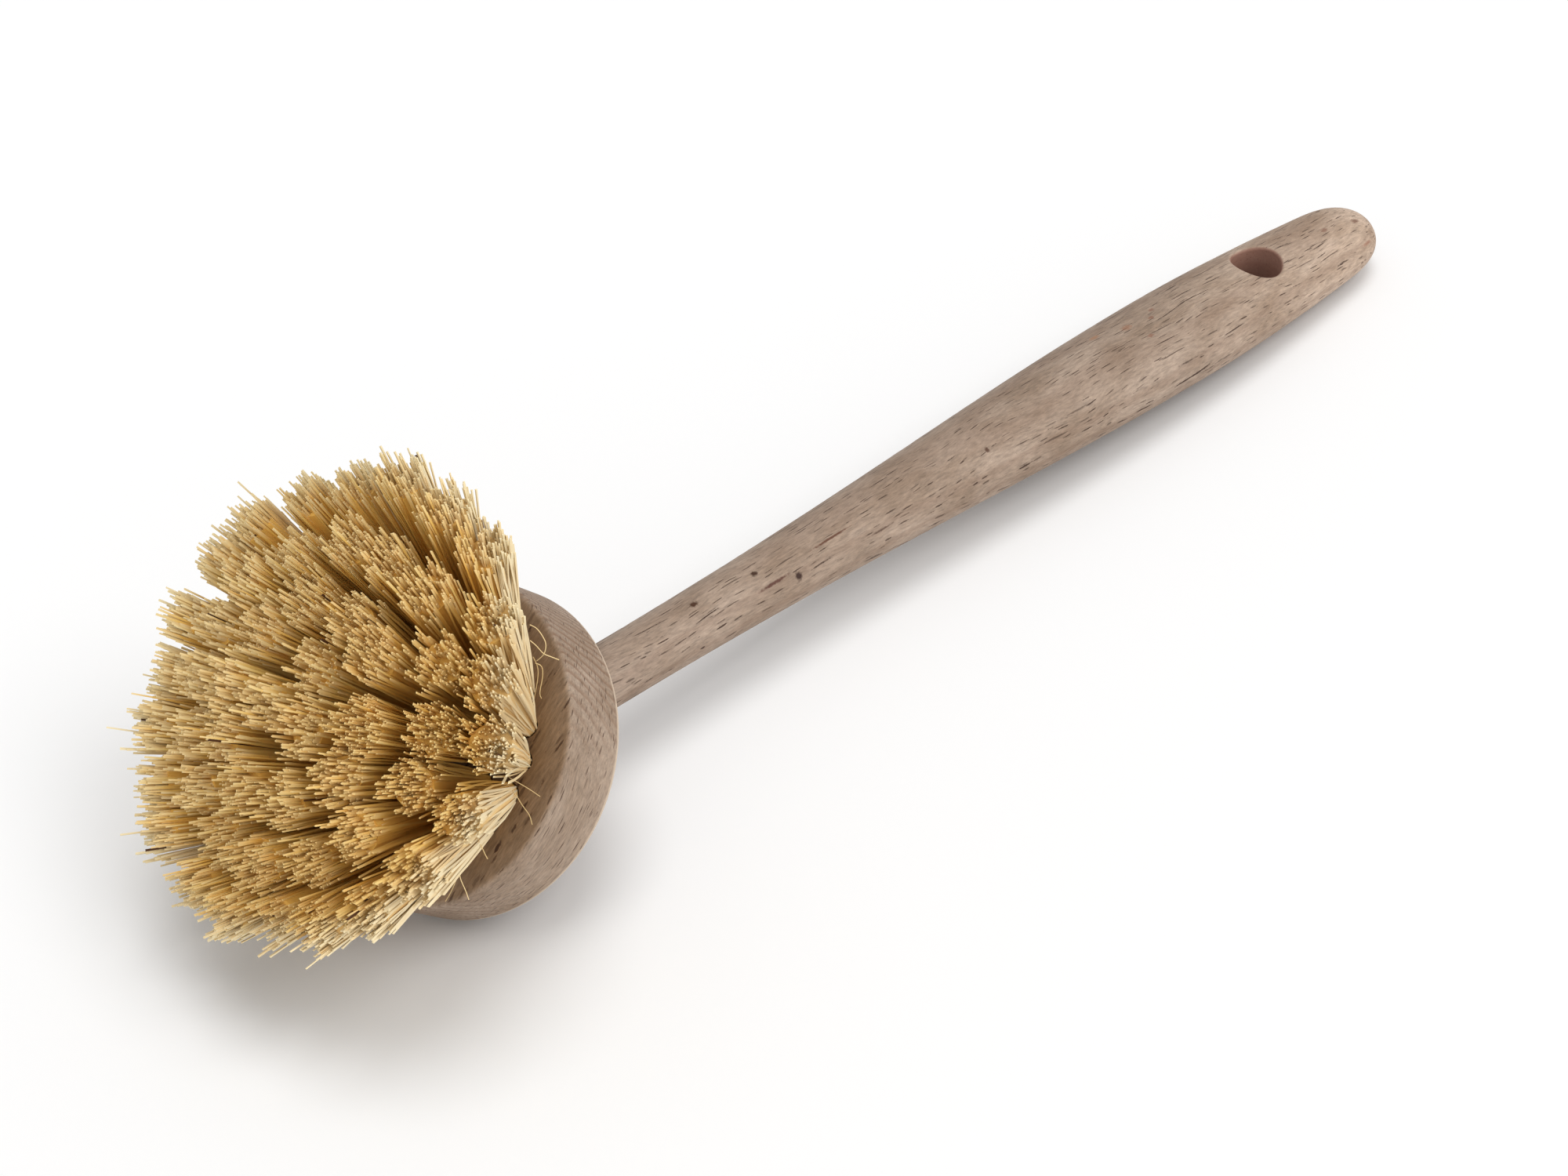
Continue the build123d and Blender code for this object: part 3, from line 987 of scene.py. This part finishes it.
    joined = addNode(tree, "GeometryNodeJoinGeometry", {"Geometry": [sized, looseSized]})
    section = addNode(tree, "GeometryNodeCurvePrimitiveCircle", {"Resolution": 3, "Radius": 1.0})
    widths = addNode(tree, "GeometryNodeInputRadius")
    tubes = addNode(
        tree,
        "GeometryNodeCurveToMesh",
        {"Curve": joined, "Profile Curve": section, "Scale": widths, "Fill Caps": True},
    )

    # The middle of the tuft is one uneven body, from the bottom of the hole to just
    # below the tips. It closes the gaps between the fibres.
    bottom = addNode(tree, "ShaderNodeMath", {0: given["holeDepth"], 1: -1.0}, operation="MULTIPLY")
    top = addNode(
        tree, "ShaderNodeMath", {0: given["length"], 1: given["coreTop"]}, operation="SUBTRACT"
    )
    coreStart = addNode(tree, "ShaderNodeCombineXYZ", {2: bottom})
    coreEnd = addNode(tree, "ShaderNodeCombineXYZ", {2: top})
    coreLine = addNode(tree, "GeometryNodeCurvePrimitiveLine", {"Start": coreStart, "End": coreEnd})
    coreFine = addNode(
        tree, "GeometryNodeResampleCurve", {"Curve": coreLine, "Count": look["coreSteps"]}
    )
    corePlace = addNode(tree, "GeometryNodeInputPosition")
    coreHeight = addNode(tree, "ShaderNodeSeparateXYZ", {0: corePlace})
    coreAbove = addNode(
        tree, "ShaderNodeMapRange", {0: coreHeight.outputs[2], 1: 0.0, 2: given["length"]}
    )
    coreFoot = addNode(
        tree, "ShaderNodeMath", {0: given["rootRadius"], 1: look["coreFoot"]}, operation="MULTIPLY"
    )
    coreWide = addNode(
        tree, "ShaderNodeMapRange", {0: coreAbove, 3: coreFoot, 4: given["coreRadius"]}
    )
    coreSized = addNode(tree, "GeometryNodeSetCurveRadius", {"Curve": coreFine, "Radius": coreWide})
    coreSection = addNode(
        tree, "GeometryNodeCurvePrimitiveCircle", {"Resolution": look["coreSides"], "Radius": 1.0}
    )
    coreTube = addNode(
        tree,
        "GeometryNodeCurveToMesh",
        {"Curve": coreSized, "Profile Curve": coreSection, "Scale": widths, "Fill Caps": True},
    )
    sideways = addNode(
        tree, "ShaderNodeVectorMath", {0: corePlace, 1: (1.0, 1.0, 0.0)}, operation="MULTIPLY"
    )
    unitSide = addNode(tree, "ShaderNodeVectorMath", {0: sideways}, operation="NORMALIZE")
    linesAround, linesAlong = look["coreLines"]
    linesUp = addNode(
        tree,
        "ShaderNodeVectorMath",
        {0: corePlace, 1: (0.0, 0.0, linesAlong)},
        operation="MULTIPLY",
    )
    coreLines = addNode(
        tree,
        "ShaderNodeVectorMath",
        {0: unitSide, 1: (linesAround, linesAround, 0.0), 2: linesUp},
        operation="MULTIPLY_ADD",
    )
    ownShift = addNode(tree, "ShaderNodeCombineXYZ", {0: given["seed"], 1: 0.37, 2: 0.71})
    coreShift = addNode(tree, "ShaderNodeVectorMath", {0: unitSide, 1: ownShift}, operation="ADD")
    coreNoise = addNode(
        tree, "ShaderNodeTexNoise", {"Vector": coreShift, "Scale": look["coreBumps"], "Detail": 1.0}
    )
    corePull = addNode(
        tree,
        "ShaderNodeVectorMath",
        {0: coreNoise.outputs["Color"], 1: (0.5, 0.5, 0.5)},
        operation="SUBTRACT",
    )
    coreFree = addNode(
        tree, "ShaderNodeMath", {0: coreAbove, 1: given["coreUneven"]}, operation="MULTIPLY"
    )
    coreMove = addNode(
        tree, "ShaderNodeVectorMath", {0: corePull, "Scale": coreFree}, operation="SCALE"
    )
    coreBody = addNode(tree, "GeometryNodeSetPosition", {"Geometry": coreTube, "Offset": coreMove})
    # Painted light on the core's outer side too, as on the fibres
    coreOut = addNode(tree, "ShaderNodeSeparateXYZ", {0: unitSide})
    coreOpen = addNode(
        tree, "ShaderNodeMapRange", {0: coreOut.outputs[0], (1, 2, 4): look["openCore"]}
    )
    coreOpened = addNode(
        tree, "ShaderNodeMath", {0: coreOpen, 1: given["openSide"]}, operation="MULTIPLY"
    )
    coreInner = addNode(tree, "ShaderNodeMath", {0: 1.0, 1: coreOpened}, operation="SUBTRACT")
    coreRise = addNode(
        tree, "ShaderNodeMath", {0: coreAbove, 1: look["coreRise"]}, operation="MULTIPLY"
    )
    for name, field, kind in (
        ("fibreRise", coreRise, "FLOAT"),
        ("fibreTint", look["coreTint"], "FLOAT"),
        ("fibreInner", coreInner, "FLOAT"),
        ("fibreCore", 1.0, "FLOAT"),
        ("fibreLines", coreLines, "FLOAT_VECTOR"),
    ):
        coreBody = addNode(
            tree,
            "GeometryNodeStoreNamedAttribute",
            {"Geometry": coreBody, "Name": name, "Value": field},
            data_type=kind,
            domain="POINT",
        )

    whole = addNode(tree, "GeometryNodeJoinGeometry", {"Geometry": [tubes, coreBody]})
    cut = addNode(
        tree,
        "GeometryNodeStoreNamedAttribute",
        {"Geometry": whole, "Name": "fibreCut", "Value": given["cutPale"]},
        data_type="FLOAT",
        domain="POINT",
    )
    real = addNode(tree, "GeometryNodeRealizeInstances", {0: cut})
    painted = addNode(
        tree, "GeometryNodeSetMaterial", {"Geometry": real, "Material": given["fibre"]}
    )
    addNode(tree, "NodeGroupOutput", {0: painted})
    return tree


def tuftPlace(ring, place, uneven):
    # The tuft's root on the face and the turn that stands it up there
    radius, count = bristles["rings"][ring]
    angle = 2 * math.pi * (place + (bristles["outerRingTurn"] if ring == 0 else 0.0)) / count
    outward = faceDir * math.cos(angle) + sideDir * math.sin(angle)
    splay = math.radians(bristles["outerSplay"]) * radius / bristles["rings"][0][0]
    splay += math.radians(bristles["moreSplay"].get((ring, place), 0.0))
    lean = sideDir * math.sin(math.radians(bristles["leanToSide"]))
    lean -= faceDir * math.sin(math.radians(bristles["leanFromHandle"]))
    lean += faceDir * uneven[0] + sideDir * uneven[1]
    axis = (outward * math.sin(splay) + bristleDir * math.cos(splay) + lean).normalized()
    flat = (outward - axis * outward.dot(axis)).normalized()
    turn = Matrix((flat, axis.cross(flat), axis)).transposed().to_4x4()
    turn.translation = crossing + (bristleDir * brush["rimHeight"] + outward * radius) * mm
    return turn


def growTufts():
    tree = makeTuftTree(bristles)
    items = tree.interface.items_tree
    sockets = {item.name: item.identifier for item in items if item.in_out == "INPUT"}
    fibre = makeFibre(bristles)
    chance = random.Random(bristles["seed"])
    triangles = 0
    most = math.radians(bristles["unevenLean"])
    outerRadius = bristles["rings"][0][0] * mm
    for ring, (_, count) in enumerate(bristles["rings"]):
        for place in range(count):
            turn = tuftPlace(
                ring, place, (chance.uniform(-most, most), chance.uniform(-most, most))
            )
            back = turn.inverted()
            spots, edges = [], []
            for path in looseFibres.get((ring, place), ()):
                edges += [(len(spots) + i, len(spots) + i + 1) for i in range(len(path) - 1)]
                for lift, toSide, toFace in path:
                    up = brush["rimHeight"] + lift
                    away = bristleDir * up + sideDir * toSide + faceDir * toFace
                    spots.append(back @ (crossing + away * mm))
            start = bpy.data.meshes.new("looseFibres")
            start.from_pydata(spots, edges, [])
            holder = bpy.data.objects.new("holder", start)
            bpy.context.scene.collection.objects.link(holder)
            grow = holder.modifiers.new("grow", "NODES")
            grow.node_group = tree
            for name in tuftLengths:
                grow[sockets[name]] = bristles[name] * mm
            grow[sockets["length"]] += chance.uniform(-1.0, 1.0) * bristles["unevenLength"] * mm
            grow[sockets["tipRadius"]] *= 1 + chance.uniform(-1.0, 1.0) * bristles["unevenTip"]
            for name in tuftNumbers + tuftCounts:
                grow[sockets[name]] = bristles[name]
            grow[sockets["openSide"]] = 1.0 if ring == 0 else 0.0
            # Painted light: the cut ends are paler on tufts towards +Y
            side = (turn.translation - crossing).dot(sideDir) / outerRadius
            grow[sockets["cutPale"]] = bristles["cutPale"][0] + bristles["cutPale"][1] * side
            grow[sockets["seed"]] = 100 * ring + place
            grow[sockets["fibre"]] = fibre
            bpy.context.view_layer.update()
            depsgraph = bpy.context.evaluated_depsgraph_get()
            mesh = bpy.data.meshes.new_from_object(
                holder.evaluated_get(depsgraph), depsgraph=depsgraph
            )
            bpy.data.objects.remove(holder)
            for name, _ in carried:
                mesh.attributes.remove(mesh.attributes[name])
            mesh.transform(turn)
            mesh.shade_flat()
            triangles += sum(len(face.vertices) - 2 for face in mesh.polygons)
            piece = bpy.data.objects.new(f"fibres_ring{ring + 1}_{place + 1:02d}", mesh)
            bpy.context.scene.collection.objects.link(piece)
            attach(piece, "root")
            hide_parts(f"tuft_ring{ring + 1}_{place + 1:02d}")
    print("tufts grown, triangles:", triangles)


growTufts()

# Soft light from above and in front of the brush, on white paper. Levels of 1 light a
# surface that faces the lamp to its own colour, and softness is in degrees.
studio = {
    "skyLevel": 0.52,
    "keyLevel": 0.5,
    "keyFrom": (0.25, -0.85, 0.5),
    "keySoftness": 50.0,
    "fillLevel": 0.42,
    "fillFrom": (-0.25, -0.1, 1.0),
    "fillSoftness": 120.0,
    # These light the floor alone, and throw the shadow
    "shadeLevels": (0.34, 0.25),
    "shadesFrom": ((0.042, -0.01, 1.486), (0.313, -0.731, 1.103)),
    "shadeSoftness": 32.0,
    "floorGrey": "#E7E7E7",  # what the floor throws back on the brush
    "floorSeen": 0.95,  # and how white it is seen
    "floorReach": 3.0,  # metres
    "floorDrop": 0.01,
}

# The camera, fitted to the photograph: its axes in the handle's frame, and where the
# crossing lies from it
view = {
    "lens": 63.0,
    "sensorWidth": 36.0,
    "clip": (0.01, 20.0),  # metres
    "along": (0.7298596, 0.4401930, -0.5230057),
    "beside": (0.6834452, -0.4860038, 0.5447045),
    "above": (0.0144077, 0.7550036, 0.6555624),
    "crossingAt": (-45.343663, -24.323006, -407.198865),
}


def seenDirectly(tree):
    # 1 for what the camera sees, also in metal or through glass, and 0 for what lights things
    rays = addNode(tree, "ShaderNodeLightPath").outputs
    direct = addNode(
        tree,
        "ShaderNodeMath",
        {0: rays["Is Camera Ray"], 1: rays["Is Glossy Ray"]},
        operation="MAXIMUM",
    )
    return addNode(
        tree, "ShaderNodeMath", {0: direct, 1: rays["Is Transmission Ray"]}, operation="MAXIMUM"
    )


def makeFloor(look):
    reach, height = look["floorReach"], -look["floorDrop"] * mm
    mesh = bpy.data.meshes.new("floor")
    corners = [(x * reach, y * reach, height) for x, y in ((-1, -1), (1, -1), (1, 1), (-1, 1))]
    mesh.from_pydata(corners, [], [(0, 1, 2, 3)])
    floor = bpy.data.objects.new("floor", mesh)
    bpy.context.scene.collection.objects.link(floor)
    # Plain white paper: matt, and seen whiter than the light that it throws back
    material, tree = newMaterial("whitePaper")
    white = (*[look["floorSeen"]] * 3, 1.0)
    tone = addNode(
        tree,
        "ShaderNodeMix",
        {0: seenDirectly(tree), 6: linear(look["floorGrey"]), 7: white},
        data_type="RGBA",
    )
    shader = addNode(tree, "ShaderNodeBsdfDiffuse", {"Color": tone})
    addNode(tree, "ShaderNodeOutputMaterial", {"Surface": shader})
    mesh.materials.append(material)
    floor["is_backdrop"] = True
    return floor


def makeSky(look):
    world = bpy.data.worlds.new("softStudio")
    bpy.context.scene.world = world
    world.use_nodes = True
    tree = world.node_tree
    tree.nodes.clear()
    level = addNode(
        tree, "ShaderNodeMapRange", {0: seenDirectly(tree), 3: look["skyLevel"], 4: 1.0}
    )
    sky = addNode(tree, "ShaderNodeBackground", {"Color": (1.0, 1.0, 1.0, 1.0), "Strength": level})
    addNode(tree, "ShaderNodeOutputWorld", {"Surface": sky})


def addLamp(name, direction, level, softness, lights):
    lamp = bpy.data.lights.new(name, "SUN")
    lamp.energy = level * math.pi
    lamp.angle = math.radians(softness)
    piece = bpy.data.objects.new(name, lamp)
    piece.rotation_mode = "QUATERNION"
    piece.rotation_quaternion = Vector(direction).to_track_quat("Z", "Y")
    piece.location = Vector(direction).normalized()
    bpy.context.scene.collection.objects.link(piece)
    lit = bpy.data.collections.new(name + "Lights")
    for one in lights:
        lit.objects.link(one)
    piece.light_linking.receiver_collection = lit


def placeCamera(look):
    data = bpy.data.cameras.new("camera")
    data.lens = look["lens"]
    data.sensor_width = look["sensorWidth"]
    data.clip_start, data.clip_end = look["clip"]
    camera = bpy.data.objects.new("camera", data)
    bpy.context.scene.collection.objects.link(camera)
    axes = [
        handleDir * along - Vector((0, beside, 0)) + squareDir * above
        for along, beside, above in zip(look["along"], look["beside"], look["above"])
    ]
    offsets = (axis * far * mm for axis, far in zip(axes, look["crossingAt"]))
    place = crossing - sum(offsets, Vector())
    camera.matrix_world = Matrix.Translation(place) @ Matrix(axes).transposed().to_4x4()
    bpy.context.scene.camera = camera


floor = makeFloor(studio)
makeSky(studio)
addLamp("key", studio["keyFrom"], studio["keyLevel"], studio["keySoftness"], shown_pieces())
addLamp("fill", studio["fillFrom"], studio["fillLevel"], studio["fillSoftness"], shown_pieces())
for number, (level, start) in enumerate(zip(studio["shadeLevels"], studio["shadesFrom"])):
    addLamp(f"shade{number + 1}", start, level, studio["shadeSoftness"], [floor])
placeCamera(view)
bpy.context.scene.view_settings.view_transform = "Standard"

print("scene ready")
